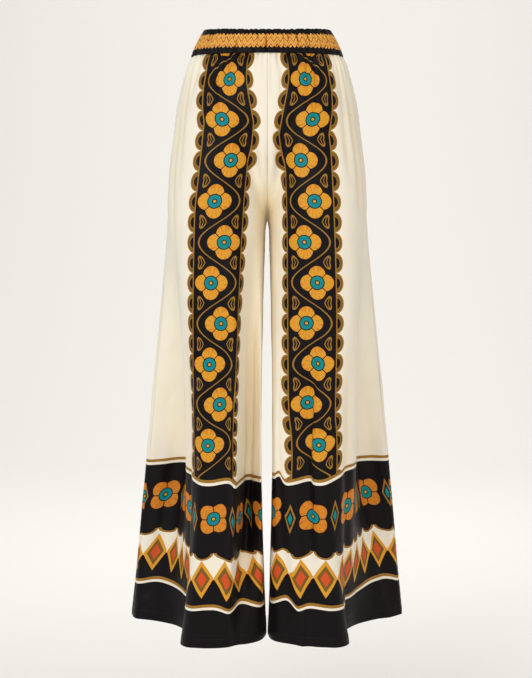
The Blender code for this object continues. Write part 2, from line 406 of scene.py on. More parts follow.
@dataclass(frozen=True)
class Crease:
    """One soft ridge (depth above 0) or trough (below 0), placed on a panel.

    Its ends are (turn, height). It bows sideways by some turns at its middle, and one that
    runs out is at full depth where it meets the hem.
    """

    top: tuple[float, float]
    bottom: tuple[float, float]
    width: float
    depth: float
    bow: float = 0.0
    runs_out: bool = False

    def relief(self, turns: np.ndarray, arcs: np.ndarray, heights: np.ndarray) -> np.ndarray:
        """How far this crease moves the cloth outwards.

        Args:
            turns: The turn of each column.
            arcs: The length along each row at each column.
            heights: The level of each row.

        Returns:
            An array of rows by columns.
        """
        down = (self.top[1] - heights) / (self.top[1] - self.bottom[1])
        along = np.clip(down, 0, 1)
        centre = self.top[0] + (self.bottom[0] - self.top[0]) * along
        centre = centre + self.bow * np.sin(math.pi * along)
        middle = np.array([np.interp(c, turns, row) for c, row in zip(centre, arcs)])
        ending = 1.0 if self.runs_out else smoothstep(0.0, 0.35, 1 - along)
        fade = smoothstep(0.0, 0.35, along) * ending
        fade = fade * ((down > 0) & ((down < 1) | self.runs_out))
        shape = np.exp(-(((arcs - middle[:, None]) / self.width) ** 2))
        return self.depth * fade[:, None] * shape


@dataclass(frozen=True)
class Stillness:
    """The slight, slow unevenness of hanging silk, the same in every run."""

    depth: float = 0.0007
    waves: tuple[tuple[float, float, float], ...] = (
        (61.0, 9.0, 0.3),
        (97.0, -14.0, 2.1),
        (38.0, 23.0, 4.0),
        (143.0, 31.0, 1.2),
    )

    def relief(self, arcs: np.ndarray, heights: np.ndarray) -> np.ndarray:
        """An array of rows by columns, from a few crossing waves."""
        up = heights[:, None]
        crossing = sum(np.sin(a * arcs + b * up * 2.0 + c) for a, b, c in self.waves)
        return self.depth * crossing / len(self.waves)


# ---------------------------------------------------------------------------------------
# Materials
# ---------------------------------------------------------------------------------------


def linear(code: str) -> tuple[float, float, float, float]:
    """The linear RGBA of an sRGB hex colour such as #f4efe1."""
    parts = [int(code[i : i + 2], 16) / 255 for i in (1, 3, 5)]
    return (*(p / 12.92 if p <= 0.04045 else ((p + 0.055) / 1.055) ** 2.4 for p in parts), 1.0)


def add_node(
    tree: bpy.types.NodeTree, kind: str, inputs: dict | None = None, **settings: object
) -> bpy.types.Node:
    """Adds a node with its settings and links.

    Args:
        tree: The tree that it goes in.
        kind: Its bl_idname.
        inputs: For each input, by name or number, its value or what feeds it: a Value, an
            output socket, or a node for its first output.
        settings: Its properties.

    Returns:
        The node.
    """
    node = tree.nodes.new(kind)
    for key, value in settings.items():
        setattr(node, key, value)
    for key, value in (inputs or {}).items():
        source = value.socket if isinstance(value, Value) else value
        source = source.outputs[0] if isinstance(source, bpy.types.Node) else source
        if isinstance(source, bpy.types.NodeSocket):
            tree.links.new(source, node.inputs[key])
        else:
            node.inputs[key].default_value = source
    return node


@dataclass(frozen=True, eq=False)
class Value:
    """A number at each point of the cloth, which the print's shapes are worked out from."""

    tree: bpy.types.NodeTree
    socket: bpy.types.NodeSocket

    def step(self, operation: str, *others: "Value | float") -> "Value":
        """One step of arithmetic, with this value as its first term."""
        terms = dict(enumerate((self, *others)))
        node = add_node(self.tree, "ShaderNodeMath", terms, operation=operation)
        return Value(self.tree, node.outputs[0])

    __sub__ = partialmethod(step, "SUBTRACT")
    __mul__ = partialmethod(step, "MULTIPLY")
    __truediv__ = partialmethod(step, "DIVIDE")
    __mod__ = partialmethod(step, "FLOORED_MODULO")
    __lt__ = partialmethod(step, "LESS_THAN")
    __gt__ = partialmethod(step, "GREATER_THAN")
    __abs__ = partialmethod(step, "ABSOLUTE")
    floor = partialmethod(step, "FLOOR")
    root = partialmethod(step, "SQRT")
    cosine = partialmethod(step, "COSINE")
    angle_over = partialmethod(step, "ARCTAN2")
    near = partialmethod(step, "COMPARE")
    times_plus = partialmethod(step, "MULTIPLY_ADD")


class Ink(Enum):
    """The print's inks, named for what they look like on the cloth."""

    CREAM = "#f8f2e2"
    BLACK = "#120e11"
    MARIGOLD = "#e2a032"
    GOLD = "#ebb65a"
    AMBER = "#c9701c"
    TANGERINE = "#dc8a2a"
    RUST = "#b4541c"
    TEAL = "#0f8a92"
    BRONZE = "#a3762f"
    OLIVE = "#7d5d29"
    ORANGE = "#d9562a"


# One coat of ink: the mask that it goes through, and the ink.
Coat = tuple[Value, Ink]


def rounded(x: Value, y: Value) -> Value:
    """The square of the distance from the middle of a round shape whose rim is at 1."""
    return x.times_plus(x, y * y)


def diamond(x: Value, y: Value, half_width: float, half_height: float) -> Value:
    """How far out a place lies in a diamond whose rim is at 1, from its sizes each way."""
    return y.times_plus(1 / half_height, x / half_width)


def nested(size: Value, rims: Iterable[tuple[float, Ink]]) -> list[Coat]:
    """Coats for shapes one inside the other, from each one's rim and ink."""
    return [(size < rim, ink) for rim, ink in rims]


def held_to(coats: Iterable[Coat], area: Value) -> list[Coat]:
    """The same coats, only where an area's mask is 1."""
    return [(mask * area, ink) for mask, ink in coats]


@dataclass(frozen=True)
class Flower:
    """A four-petalled flower with streaked petals, black clefts and a ringed disc."""

    reach_mm: float
    quarter_turn: float  # 0 for upright petals, or half of pi for slanted ones
    petals: Ink
    strokes: Ink
    notch: float = 0.30
    cleft_mm: float = 1.6
    stroke_stretch: tuple[float, float] = (7.0, 1.6)
    stroke_edge: tuple[float, float] = (0.50, 0.66)
    stroke_strength: float = 0.75
    disc: tuple[tuple[float, Ink], ...] = (
        (0.44, Ink.BLACK),
        (0.38, Ink.TEAL),
        (0.15, Ink.BLACK),
        (0.09, Ink.MARIGOLD),
    )

    def coats(self, x: Value, y: Value) -> list[Coat]:
        """The flower's coats of ink.

        Args:
            x: The length across it in millimetres, 0 at its middle.
            y: The length up it, 0 at its middle.

        Returns:
            The coats, from the lowest up.
        """
        away, angle = rounded(y, x).root(), y.angle_over(x)
        lobes = abs(angle.times_plus(2.0, self.quarter_turn).cosine())
        notch = self.notch * self.reach_mm
        petals = away < lobes.times_plus(notch, (1 - self.notch) * self.reach_mm)
        strokes = self.streaks(angle, away) * petals * self.stroke_strength
        clefts = (lobes * away < self.cleft_mm) * petals
        rims = [(share * self.reach_mm, ink) for share, ink in self.disc]
        return [
            (petals, self.petals),
            (strokes, self.strokes),
            (clefts, Ink.BLACK),
            *nested(away, rims),
        ]

    def streaks(self, angle: Value, away: Value) -> Value:
        """Uneven strokes that run along the petals.

        Args:
            angle: The way round the flower.
            away: The length out from its middle.

        Returns:
            The strokes' mask.
        """
        tree, (round_it, along) = angle.tree, self.stroke_stretch
        place = add_node(tree, "ShaderNodeCombineXYZ", {"X": angle, "Y": away})
        scale = (round_it, along / self.reach_mm, 1.0)
        drawn_out = add_node(tree, "ShaderNodeMapping", {"Vector": place, "Scale": scale})
        noise = {"Vector": drawn_out, "Scale": 1.0, "Detail": 4.0}
        grain = add_node(tree, "ShaderNodeTexNoise", noise)
        low, high = self.stroke_edge
        edge = {"Value": grain, "From Min": low, "From Max": high}
        return Value(tree, add_node(tree, "ShaderNodeMapRange", edge).outputs["Result"])


@dataclass(frozen=True)
class SilkTwill:
    """Silk twill: fine diagonal ribs of glossy thread that give the cloth a soft, wide sheen."""

    name: str
    roughness: float = 0.46
    roughness_spread: tuple[float, float] = (-0.05, 0.06)
    gloss: float = 0.17
    refraction: float = 1.38
    sheen: float = 0.03
    sheen_roughness: float = 0.4
    mottle: tuple[float, float] = (0.955, 1.03)
    rib_mm: float = 1.4  # real ribs are 0.4 mm apart and wouldn't show
    rib_angle: float = math.radians(63)
    rib_depth: float = 0.00003
    slubs_per_metre: tuple[float, float, float] = (700.0, 45.0, 1.0)
    slub_depth: float = 0.00010
    fade: float = 0.0  # how far the print is paler, as on the cloth's reverse
    # Colours multiplied into the print as painted shade: in the folds, and a warm streak by the
    # fork.
    painted_fold_shade: str = "#fdefd6"
    painted_fork_shade: str = "#eda648"

    def printed(
        self, ground: Ink, draw: Callable[[Value, Value], list[Coat]]
    ) -> bpy.types.Material:
        """The silk with a print on it.

        Args:
            ground: The ink under all the others.
            draw: Gives the coats of ink, from the lengths across and up the flat cloth in
                millimetres.

        Returns:
            The material.
        """
        made = bpy.data.materials.new(self.name)
        made.use_nodes = True
        tree = made.node_tree
        tree.nodes.clear()
        cloth = add_node(tree, "ShaderNodeUVMap", uv_map="cloth")
        lengths = add_node(tree, "ShaderNodeSeparateXYZ", {"Vector": cloth}).outputs
        across, up = (Value(tree, lengths[axis]) * (1 / MM) for axis in "XY")
        colour: bpy.types.NodeSocket | tuple = linear(ground.value)
        for mask, ink in draw(across, up):
            inputs = {0: mask, 6: colour, 7: linear(ink.value)}
            colour = add_node(tree, "ShaderNodeMix", inputs, data_type="RGBA").outputs[2]
        self.dress(tree, cloth, colour)
        return made

    def shaded(
        self, tree: bpy.types.NodeTree, cloth: bpy.types.Node, colour: bpy.types.NodeSocket
    ) -> bpy.types.NodeSocket:
        """The print's colour with the dye's unevenness, the fading, and painted shade in the folds
        and by the fork.

        Args:
            tree: The material's node tree.
            cloth: The node that gives the flat cloth's lengths in metres.
            colour: The print's colour.

        Returns:
            The shaded colour.
        """
        blotches = {"Vector": cloth, "Scale": 26.0, "Detail": 4.0}
        mottle = add_node(tree, "ShaderNodeTexNoise", blotches)
        low, high = self.mottle
        depth = add_node(
            tree, "ShaderNodeMapRange", {"Value": mottle, "To Min": low, "To Max": high}
        )
        tinted = add_node(
            tree, "ShaderNodeVectorMath", {0: colour, "Scale": depth}, operation="SCALE"
        )
        # In its folds the cloth is lit by itself, so it looks deeper and warmer there: that shade
        # is painted into the colour here, from a map of fold depth (X) and nearness to the fork
        # (Y).
        painted_shade_uv = add_node(tree, "ShaderNodeUVMap", uv_map="shelter")
        shelter = add_node(tree, "ShaderNodeSeparateXYZ", {"Vector": painted_shade_uv}).outputs
        shades = (
            (self.fade, Ink.CREAM.value, "MIX"),
            (shelter["X"], self.painted_fold_shade, "MULTIPLY"),
            (shelter["Y"], self.painted_fork_shade, "MULTIPLY"),
        )
        shade = tinted.outputs[0]
        for share, tint, blend in shades:
            inputs = {0: share, 6: shade, 7: linear(tint)}
            mix = add_node(tree, "ShaderNodeMix", inputs, data_type="RGBA", blend_type=blend)
            shade = mix.outputs[2]
        return shade

    def dress(
        self, tree: bpy.types.NodeTree, cloth: bpy.types.Node, colour: bpy.types.NodeSocket
    ) -> None:
        """Builds the cloth's surface under a finished colour.

        Args:
            tree: The material's node tree.
            cloth: The node that gives the flat cloth's lengths in metres.
            colour: The print's colour.
        """
        slant = {"Vector": cloth, "Rotation": (0.0, 0.0, self.rib_angle)}
        ribs = add_node(
            tree,
            "ShaderNodeTexWave",
            # A wave's own period is 2 pi / 20 of a unit at a scale of 1.
            {
                "Vector": add_node(tree, "ShaderNodeMapping", slant),
                "Scale": 2 * math.pi / 20 / (self.rib_mm * MM),
                "Distortion": 0.6,
                "Detail": 1.0,
            },
        )
        stretch = {"Vector": cloth, "Scale": self.slubs_per_metre}
        stretched = add_node(tree, "ShaderNodeMapping", stretch)
        noise = {"Vector": stretched, "Scale": 1.0, "Detail": 3.0}
        slubs = add_node(tree, "ShaderNodeTexNoise", noise)
        weave = {"Strength": 1.0, "Distance": self.rib_depth, "Height": ribs.outputs["Fac"]}
        over = {
            "Strength": 1.0,
            "Distance": self.slub_depth,
            "Height": slubs,
            "Normal": add_node(tree, "ShaderNodeBump", weave),
        }
        dull, bright = (self.roughness + part for part in self.roughness_spread)
        spread = {"Value": slubs, "From Min": 0.3, "From Max": 0.7}
        spread |= {"To Min": dull, "To Max": bright}
        shader = {
            "Base Color": self.shaded(tree, cloth, colour),
            "Roughness": add_node(tree, "ShaderNodeMapRange", spread),
            "Normal": add_node(tree, "ShaderNodeBump", over),
            "IOR": self.refraction,
            "Specular IOR Level": self.gloss,
            "Sheen Weight": self.sheen,
            "Sheen Roughness": self.sheen_roughness,
        }
        surface = {"Surface": add_node(tree, "ShaderNodeBsdfPrincipled", shader)}
        add_node(tree, "ShaderNodeOutputMaterial", surface)


@dataclass(frozen=True)
class LegPrint:
    """The legs' print: a black panel with a waving stem of flowers, over a deep hem border."""

    silk: SilkTwill
    wave_mm: float = 69.5
    lowest_flower_mm: float = 366.0
    flower: Flower = Flower(29.0, 0.0, Ink.MARIGOLD, Ink.AMBER)
    flower_off_mm: float = 10.0
    stem_swing_mm: float = 34.0
    stem_half_mm: float = 1.5
    leaf_off_mm: float = 27.0
    leaf_half_mm: tuple[float, float] = (6.0, 12.0)
    leaf_lean: float = 0.35
    leaf_rib_mm: float = 0.7
    panel_half_mm: float = 42.0
    edging_mm: float = 2.0
    scallop_mm: float = 34.75
    scallop_reach_mm: float = 13.5
    border_flower: Flower = Flower(30.0, math.pi / 2, Ink.TANGERINE, Ink.RUST)
    border_flower_up_mm: float = 63.0
    border_pitch_mm: float = 84.0
    border_foot_mm: float = 172.0
    border_top_mm: float = 306.0
    border_head_mm: float = 10.6
    kite_half_mm: tuple[float, float] = (10.0, 27.0)
    frond_high_mm: float = 12.0
    lozenge_mm: float = 45.0
    lozenge_up_mm: float = 126.0
    lozenge_half_mm: float = 35.0
    # Level lines: each one's place, half its width and its ink. The first two are below the
    # border's top and the others above the hem.
    top_lines_mm: tuple[tuple[float, float, Ink], ...] = (
        (8.0, 2.6, Ink.CREAM),
        (2.7, 2.7, Ink.BRONZE),
    )
    foot_lines_mm: tuple[tuple[float, float, Ink], ...] = (
        (76.2, 2.7, Ink.BRONZE),
        (71.2, 2.3, Ink.CREAM),
    )

    def material(self) -> bpy.types.Material:
        """The printed silk, drawn on the cloth's own lengths."""
        return self.silk.printed(Ink.CREAM, self.draw)

    def draw(self, across: Value, up: Value) -> list[Coat]:
        """Every coat of ink on the legs.

        Args:
            across: The length from the grain line in millimetres.
            up: The length from the hem in millimetres.

        Returns:
            The coats, from the lowest up.
        """
        beside = abs(across)
        above = up > self.border_top_mm - self.edging_mm
        scallops = held_to(self.scallops(beside, up), above)
        return [*scallops, *self.panel(across, beside, up, above), *self.border(across, up)]

    def scallops(self, beside: Value, up: Value) -> list[Coat]:
        """The shaded scallops along both of the panel's edges.

        Args:
            beside: The length from the grain line, without its sign.
            up: The length from the hem.

        Returns:
            The coats, from the lowest up.
        """
        half = self.scallop_mm / 2
        y = (up % self.scallop_mm - half) / half
        x = (beside - (self.panel_half_mm + self.edging_mm / 2)) / self.scallop_reach_mm
        rims = ((1.0, Ink.BRONZE), (0.74, Ink.OLIVE), (0.40, Ink.BRONZE), (0.30, Ink.BLACK))
        return nested(rounded(x, y), rims)

    def panel(self, across: Value, beside: Value, up: Value, above: Value) -> list[Coat]:
        """The upright panel: its ground, stem and flowers, and the leaves between them.

        Args:
            across: The length from the grain line.
            beside: The same without its sign.
            up: The length from the hem.
            above: The mask of the cloth above the border.

        Returns:
            The coats, from the lowest up.
        """
        half = self.wave_mm / 2
        wave_up = up - (self.lowest_flower_mm - half)
        wave = (wave_up / self.wave_mm).floor()
        y = wave_up - wave.times_plus(self.wave_mm, half)
        # Every other wave is drawn turned over.
        x = across * (wave % 2.0).times_plus(-2.0, 1.0)
        ground = (beside < self.panel_half_mm) * above
        edging = (beside < self.panel_half_mm + self.edging_mm) * above
        swing = (y * (math.pi / self.wave_mm)).cosine()
        stem = abs(swing.times_plus(self.stem_swing_mm, x)) < self.stem_half_mm
        leaf_y = abs(y) - half
        leaf_x = leaf_y.times_plus(self.leaf_lean, abs(x) - self.leaf_off_mm)
        wide, long = self.leaf_half_mm
        size = rounded(leaf_y / long, leaf_x / wide)
        leaf = size < 1.0
        foliage = (
            (stem, Ink.BRONZE),
            (leaf, Ink.BRONZE),
            (size < 0.5, Ink.BLACK),
            ((abs(leaf_x) < self.leaf_rib_mm) * leaf, Ink.BRONZE),
        )
        flowers = self.flower.coats(x - self.flower_off_mm, y)
        return [
            (edging, Ink.BRONZE),
            (ground, Ink.BLACK),
            *held_to(foliage, ground),
            *held_to(flowers, wave_up > 0.0),
        ]

    def border(self, across: Value, up: Value) -> list[Coat]:
        """The hem border, from its fronds and flowers down to the row of nested lozenges.

        Args:
            across: The length from the grain line.
            up: The length from the hem.

        Returns:
            The coats, from the lowest up.
        """
        pitch, wide = self.border_pitch_mm, self.lozenge_mm
        foot, top = self.border_foot_mm, self.border_top_mm
        place = across.times_plus(1 / pitch, 0.5).floor()
        x = place.times_plus(-pitch, across)
        y = up - (foot + self.border_flower_up_mm)
        kite = diamond(abs(abs(x) - pitch / 2), abs(y), *self.kite_half_mm)
        frond_x = (across % (pitch / 2) - pitch / 4) / (pitch / 4)
        frond = rounded((up - (foot + 1.0)) / self.frond_high_mm, frond_x)
        lozenge_x, lozenge_y = abs(across % wide - wide / 2), abs(up - self.lozenge_up_mm)
        lozenge = diamond(lozenge_x, lozenge_y, wide / 2, self.lozenge_half_mm)
        return [
            *nested(frond, ((1.0, Ink.BRONZE), (0.55, Ink.BLACK))),
            ((up > foot) * (up < top - self.border_head_mm), Ink.BLACK),
            *nested(kite, ((1.0, Ink.BRONZE), (0.70, Ink.BLACK), (0.42, Ink.TEAL))),
            *self.border_flower.coats(x, y),
            *((up.near(top - down, half), ink) for down, half, ink in self.top_lines_mm),
            (up < self.lozenge_up_mm - 2.0, Ink.BLACK),
            *nested(lozenge, ((1.0, Ink.MARIGOLD), (0.70, Ink.OLIVE), (0.42, Ink.ORANGE))),
            *((up.near(high, half), ink) for high, half, ink in self.foot_lines_mm),
        ]


@dataclass(frozen=True)
class BandPrint:
    """The waistband's print: a strip of nested zigzags between black edges."""

    silk: SilkTwill
    foot_mm: float = 10.0
    head_mm: float = 37.0
    zigzag_mm: float = 15.0
    slant: float = 1.3
    repeat_mm: float = 13.5
    lobe_mm: float = 20.0
    lobe_reach_mm: float = 3.6
    # Each zigzag's place in the repeat, half its width and its ink.
    zigzags: tuple[tuple[float, float, Ink], ...] = (
        (3.4, 1.5, Ink.RUST),
        (9.6, 1.2, Ink.TANGERINE),
    )

    def material(self) -> bpy.types.Material:
        """The printed silk of the waistband."""
        return self.silk.printed(Ink.BLACK, self.draw)

    def draw(self, across: Value, up: Value) -> list[Coat]:
        """Every coat of ink on the waistband.

        Args:
            across: The length along it in millimetres.
            up: The length up it in millimetres.

        Returns:
            The coats, from the lowest up.
        """
        middle, half = (self.foot_mm + self.head_mm) / 2, (self.head_mm - self.foot_mm) / 2
        lobe = abs((across * (2 * math.pi / self.lobe_mm)).cosine())
        reach = lobe.times_plus(self.lobe_reach_mm, half - self.lobe_reach_mm)
        strip = abs(up - middle) < reach
        tooth = abs(across % self.zigzag_mm - self.zigzag_mm / 2)
        row = tooth.times_plus(self.slant, up) % self.repeat_mm
        lines = [(row.near(place, half), ink) for place, half, ink in self.zigzags]
        return [(strip, Ink.GOLD), *held_to(lines, strip)]


@dataclass(frozen=True)
class PlainFinish:
    """A plain colour with one fine grain that shows as slight bumps."""

    name: str
    colour: str
    roughness: float
    gloss: float
    grain: str
    grain_scale: float
    grain_depth: float
    grain_settings: tuple[tuple[str, str], ...] = ()

    def material(self) -> bpy.types.Material:
        """The finish, with its grain laid by Object coordinates."""
        made = bpy.data.materials.new(self.name)
        made.use_nodes = True
        tree = made.node_tree
        place = add_node(tree, "ShaderNodeTexCoord").outputs["Object"]
        inputs = {"Vector": place, "Scale": self.grain_scale}
        grain = add_node(tree, self.grain, inputs, **dict(self.grain_settings))
        height = {"Distance": self.grain_depth, "Height": grain.outputs["Fac"]}
        bump = add_node(tree, "ShaderNodeBump", height)
        shader = tree.nodes["Principled BSDF"].inputs
        tree.links.new(bump.outputs["Normal"], shader["Normal"])
        shader["Base Color"].default_value = linear(self.colour)
        shader["Roughness"].default_value = self.roughness
        shader["Specular IOR Level"].default_value = self.gloss
        return made


# Smooth twisted plies with a dull shine, which show as slight slanted bumps.
THREAD = PlainFinish(
    "black polyester thread",
    "#1b181a",
    roughness=0.5,
    gloss=0.5,
    grain="ShaderNodeTexWave",
    grain_scale=900.0,
    grain_depth=0.00005,
    grain_settings=(("bands_direction", "DIAGONAL"),),
)
# Matt paper, even and pale, with a barely visible tooth.
PAPER = PlainFinish(
    "studio paper",
    "#f5f3f0",
    roughness=0.95,
    gloss=0.1,
    grain="ShaderNodeTexNoise",
    grain_scale=300.0,
    grain_depth=0.0001,
)


# ---------------------------------------------------------------------------------------
# Cloth pieces
# ---------------------------------------------------------------------------------------


def grid_object(
    name: str, places: np.ndarray, maps: dict[str, np.ndarray], closed: bool
) -> bpy.types.Object:
    """A cloth surface from a grid of places.

    Args:
        name: The object's name.
        places: Rows by columns of (x, y, z), so that faces look outwards.
        maps: Rows by columns of (u, v) for each UV map, by its name.
        closed: Whether the last row joins on to the first.

    Returns:
        The object, with its UV maps, smooth.
    """
    rows, columns = places.shape[:2]
    index = np.arange(rows * columns).reshape(rows, columns)
    ring = np.concatenate([index, index[:1]]) if closed else index
    faces = np.stack([ring[:-1, :-1], ring[:-1, 1:], ring[1:, 1:], ring[1:, :-1]], axis=-1)
    faces = faces.reshape(-1, 4)
    mesh = bpy.data.meshes.new(name)
    mesh.from_pydata(places.reshape(-1, 3).tolist(), [], faces.tolist())
    for key, values in maps.items():
        layer = mesh.uv_layers.new(name=key)
        layer.data.foreach_set("uv", values.reshape(-1, 2)[faces.ravel()].ravel())
    mesh.shade_smooth()
    made = bpy.data.objects.new(name, mesh)
    bpy.context.scene.collection.objects.link(made)
    return made


def depth_in_hull(points: np.ndarray, ring: np.ndarray) -> np.ndarray:
    """How deep points lie inside the convex outline round a ring.

    Args:
        points: The x and y of each point.
        ring: The x and y of the points that the outline is drawn round.

    Returns:
        The distance of each point from the outline, in metres.
    """
    order = ring[np.lexsort((ring[:, 1], ring[:, 0]))]
    hull: list[np.ndarray] = []
    for run in (order, order[::-1]):
        start = len(hull)
        for point in run:
            while len(hull) - start > 1 and np.cross(hull[-1] - hull[-2], point - hull[-1]) <= 0:
                hull.pop()
            hull.append(point)
        hull.pop()
    corners = np.array(hull)
    edges = np.roll(corners, -1, axis=0) - corners
    inwards = np.stack([-edges[:, 1], edges[:, 0]], axis=1)
    inwards /= np.linalg.norm(inwards, axis=1, keepdims=True)
    return np.einsum("pek,ek->pe", points[:, None] - corners[None], inwards).min(axis=1)


def flat_area(cloth: np.ndarray) -> float:
    """The flat cloth's area, from rows by columns of its lengths, in square metres."""
    u, v = cloth[..., 0], cloth[..., 1]
    across = (u[:, 1:] - u[:, :-1])[:-1] + (u[:, 1:] - u[:, :-1])[1:]
    up = (v[1:] - v[:-1])[:, 1:] + (v[1:] - v[:-1])[:, :-1]
    return float(np.abs(across * up).sum() / 4)


@dataclass
class LegPanel:
    """The front or back of one leg, a single layer of silk with a narrow turned hem."""

    form: LegForm
    cut: Cut
    grain: tuple[tuple[float, float], ...]
    creases: tuple[Crease, ...]
    gathers: Gathers
    columns: int = 150
    row_counts: tuple[int, ...] = (12, 146, 66, 4)  # in the hem, the leg, the hip and the tuck
    hem_margin: float = 0.006
    hip_start: float = -0.20
    tuck_margin: float = 0.0004
    thickness: float = 0.0006
    seam_gap: float = 0.0002
    seam_dent: float = 0.0008
    seam_roll: float = 0.0045
    inner_pull: float = 0.35
    pucker: float = 0.0004
    pucker_pitch: float = 0.013
    pucker_off: float = 0.007
    pucker_width: float = 0.005
    hem_fold: float = 0.016
    hem_step: float = 0.0005
    hem_step_width: float = 0.0015
    hem_pinch: float = 0.0005
    hem_pinch_width: float = 0.0018
    hem_pinch_pitch: float = 0.0115
    waist_sag: float = 0.0020
    gather_sag: float = 0.45
    tuck: float = 0.0060
    tuck_depth: float = 0.0034
    fullness: float = 1.18
    # The painted shade: the fold depth where it is full, its share at the sides and at the inseam,
    # in the gather troughs, and its streak by the fork as (width, height).
    full_painted_shade: float = 0.075
    side_share: float = 0.20
    inner_share: float = 0.60
    full_trough: float = 0.006
    trough_share: float = 0.40
    fork_shade: tuple[float, float] = (0.0055, 0.036)
    stillness: Stillness = field(default_factory=Stillness)
    places: np.ndarray = field(init=False)
    cloth: np.ndarray = field(init=False)
    shelter: np.ndarray = field(init=False)
    heights: np.ndarray = field(init=False)

    @property
    def name(self) -> str:
        """The piece's name, such as silk_front_left_leg."""
        return f"silk_{self.cut.name.lower()}_{self.form.side.name.lower()}_leg"

    @property
    def node(self) -> str:
        """The solid that the panel stands for."""
        return f"{self.cut.name.lower()}_{self.form.side.name.lower()}_leg"

    def lay_out(self) -> None:
        """Works out where each point of the panel is, and where it was in the flat cloth."""
        first, last = self.cut.value
        turns = self.even_turns(first, last)
        self.heights = self.row_heights()
        flat = np.array([self.form.section(turns, h) for h in self.heights])
        along = np.gradient(flat, axis=1)
        along /= np.linalg.norm(along, axis=2, keepdims=True)
        outward = np.stack([along[..., 1], -along[..., 0]], axis=2)
        steps = np.linalg.norm(np.diff(flat, axis=1), axis=2)
        arcs = np.concatenate([np.zeros((len(flat), 1)), np.cumsum(steps, axis=1)], axis=1)
        lift = self.relief(turns, arcs)
        moved = flat + outward * lift[..., None]
        moved[:, 0] += along[:, 0] * self.seam_gap / 2
        moved[:, -1] -= along[:, -1] * self.seam_gap / 2
        moved[..., 0] = np.maximum(moved[..., 0], self.seam_gap / 2)
        # Above the fork both legs meet at the centre seam.
        centre = 0 if self.cut is Cut.FRONT else -1
        moved[self.heights > FORK, centre, 0] = self.seam_gap / 2
        fading = smoothstep(GATHER_END, WAIST_SEAM, self.heights)[:, None]
        up = self.heights[:, None] + self.waist_dip(turns) * fading
        up = up + self.gather_sag * np.minimum(lift, 0) * (self.heights > GATHER_END)[:, None]
        side = self.form.side.value
        self.places = np.stack([side * moved[..., 0], moved[..., 1], up], axis=2)
        self.cloth = self.flat_lengths(turns, flat, arcs)
        self.shelter = self.painted_shade_map(moved, turns, arcs, lift)

    def painted_shade_map(
        self, moved: np.ndarray, turns: np.ndarray, arcs: np.ndarray, lift: np.ndarray
    ) -> np.ndarray:
        """How much painted shade each point gets, deep in the folds and close to the fork.

        Args:
            moved: Rows by columns of the finished (x, y).
            turns: The turn of each column.
            arcs: The length along each row at each column.
            lift: Rows by columns of how far the cloth stands out from the form.

        Returns:
            Rows by columns of the painted fold shade, from how deep in a fold each point is, and
            of the painted fork shade, from how close to the fork it is.
        """
        # Painted fold shade: darker and warmer the deeper a point lies inside the outline round
        # both legs.
        all_turns = np.linspace(0, FOLDS, 120)
        shelter = np.zeros(moved.shape)
        for i, height in enumerate(self.heights):
            half = self.form.section(all_turns, height)
            ring = np.concatenate([half, half * (-1, 1)])
            depth = depth_in_hull(moved[i], ring)
            shelter[i, :, 0] = smoothstep(0.004, self.full_painted_shade, depth)
        inner = 0.5 + 0.5 * np.cos(2 * math.pi * turns / FOLDS)[None, :]
        shelter[..., 0] *= self.side_share + (self.inner_share - self.side_share) * inner
        # Painted shade also in the gather troughs below the waist seam.
        troughs = np.clip(-lift / self.full_trough, 0, 1) * (self.heights < WAIST_SEAM)[:, None]
        shelter[..., 0] = np.maximum(shelter[..., 0], self.trough_share * troughs)
        # Painted fork shade: a warm streak along the centre edge just above the fork.
        edge = arcs if self.cut is Cut.FRONT else arcs[:, -1:] - arcs
        above_fork = (self.heights - FORK - self.fork_shade[1] / 2)[:, None]
        shelter[..., 1] = np.exp(
            -((edge / self.fork_shade[0]) ** 2) - (above_fork / self.fork_shade[1]) ** 2
        )
        return shelter

    def even_turns(self, first: float, last: float) -> np.ndarray:
        """Turns for the columns, half evenly by cloth at the hem and half evenly by turn."""
        fine = np.linspace(first, last, 900)
        points = self.form.section(fine, HEM)
        steps = np.linalg.norm(np.diff(points, axis=0), axis=1)
        length = np.concatenate([[0.0], np.cumsum(steps)])
        shares = 0.5 * length / length[-1] + 0.5 * (fine - first) / (last - first)
        return np.interp(np.linspace(0, 1, self.columns + 1), shares, fine)

    def row_heights(self) -> np.ndarray:
        """Levels from the hem up, closer at the hem's fold and in the gathers, with the tuck."""
        hem_end = HEM + self.hem_fold + self.hem_margin
        hip_end = WAIST_SEAM - self.tuck_margin
        ends = (HEM, hem_end, self.hip_start, hip_end, WAIST_SEAM + self.tuck)
        runs = [np.linspace(*run) for run in zip(ends, ends[1:], self.row_counts)]
        return np.concatenate([runs[0], *(run[1:] for run in runs[1:])])

    def waist_dip(self, turns: np.ndarray) -> np.ndarray:
        """How far the waist seam dips at each column, most at the centre front."""
        facing = np.maximum(0.0, np.cos(math.pi * turns / FOLDS))
        return -self.waist_sag * facing**2

    def relief(self, turns: np.ndarray, arcs: np.ndarray) -> np.ndarray:
        """How far the fine cloth stands out from the solids' form.

        Args:
            turns: The turn of each column.
            arcs: The length along each row at each column.

        Returns:
            An array of rows by columns.
        """
        heights = self.heights
        across = arcs[-20] / arcs[-20][-1]
        lift = self.gathers.relief(across, WAIST_SEAM - heights)
        lift += self.stillness.relief(arcs, heights)
        for crease in self.creases:
            lift += crease.relief(turns, arcs, heights)
        # The edges roll into the seams, which pucker a little where the thread pulls. The
        # centre seam and the inseam hang under less pull than the outseam.
        pulls = (self.inner_pull, 1.0)[:: 1 if self.cut is Cut.FRONT else -1]
        for edge, tight in zip((arcs, arcs[:, -1:] - arcs), pulls):
            roll = np.exp(-((edge / self.seam_roll) ** 2))
            pull = np.sin(2 * math.pi * heights / self.pucker_pitch)[:, None]
            beside = np.exp(-(((edge - self.pucker_off) / self.pucker_width) ** 2))
            lift -= tight * (self.seam_dent * roll - self.pucker * pull * beside)
